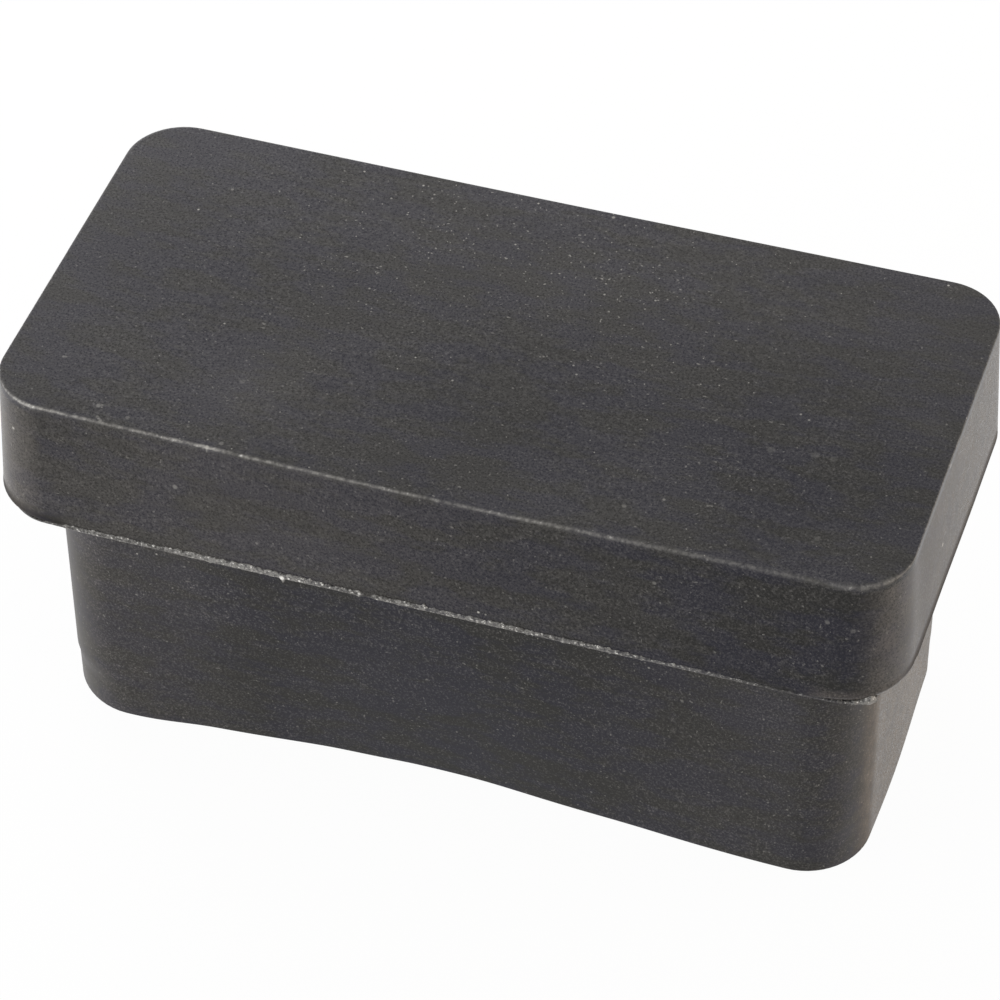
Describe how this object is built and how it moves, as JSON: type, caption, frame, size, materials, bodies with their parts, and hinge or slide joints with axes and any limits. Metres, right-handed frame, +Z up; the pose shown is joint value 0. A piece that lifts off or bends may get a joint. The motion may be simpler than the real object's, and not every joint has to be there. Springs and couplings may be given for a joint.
{
  "type": "rectangular tube insert",
  "caption": "Black rubber end insert for rectangular tube: a thick rounded head over a smooth hollow plug that presses into the tube.",
  "frame": {"origin": "middle of the plug's rim plane, on the surface that the insert stands on", "axes": "+X along the head's length, +Y across its width, +Z up through the head"},
  "size_m": [0.102, 0.0508, 0.0491],
  "materials": {
    "rubber": "matte moulded black rubber, fine mottled grain, pale scuffed edges and a thin moulding flash"
  },
  "bodies": {
    "root": {"tube_insert": "rubber"}
  },
  "joints": []
}
